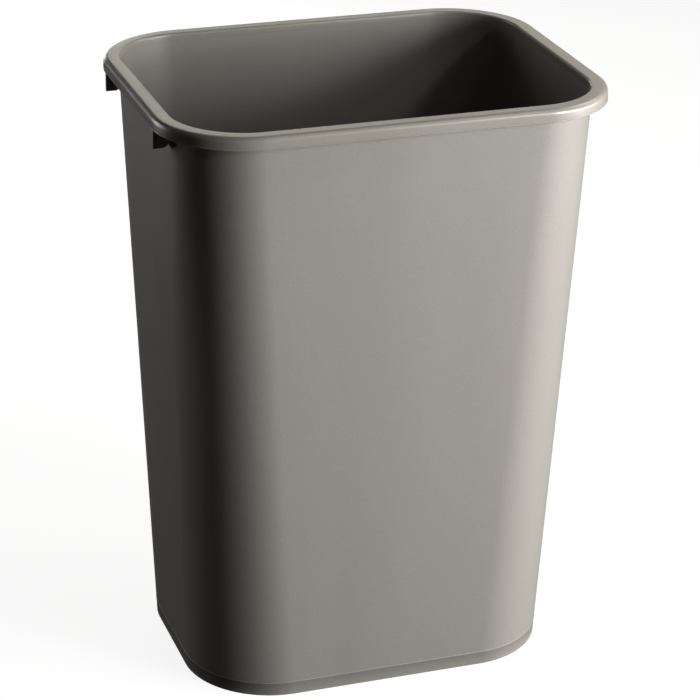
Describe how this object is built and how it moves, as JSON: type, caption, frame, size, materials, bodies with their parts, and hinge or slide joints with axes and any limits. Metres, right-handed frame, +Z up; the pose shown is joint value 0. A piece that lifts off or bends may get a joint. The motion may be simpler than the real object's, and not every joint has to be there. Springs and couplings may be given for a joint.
{
  "type": "wastebasket",
  "caption": "Open rectangular office wastebasket: tapered walls with rounded corners, a flat ledge and skirt round the mouth, small lugs under its ends, and a raised-centre base.",
  "frame": {"origin": "centre of the footprint, on the floor that the basket stands on", "axes": "+Z up out of the mouth, +X along the long side towards the right end, -Y out of the long front side"},
  "size_m": [0.375, 0.292, 0.505],
  "materials": {
    "moulded_shell": "warm grey moulded polyethylene, fine satin grain",
    "moulded_rim": "the same warm grey polyethylene, a little smoother on the rim",
    "moulded_lug": "the same warm grey polyethylene, matt under the rim"
  },
  "bodies": {
    "root": {"side_wall": "moulded_shell", "base_pan": "moulded_shell", "rim_land": "moulded_rim", "rim_skirt": "moulded_rim", "rim_lug_front_left": "moulded_lug", "rim_lug_back_left": "moulded_lug", "rim_lug_front_right": "moulded_lug", "rim_lug_back_right": "moulded_lug"}
  },
  "joints": []
}
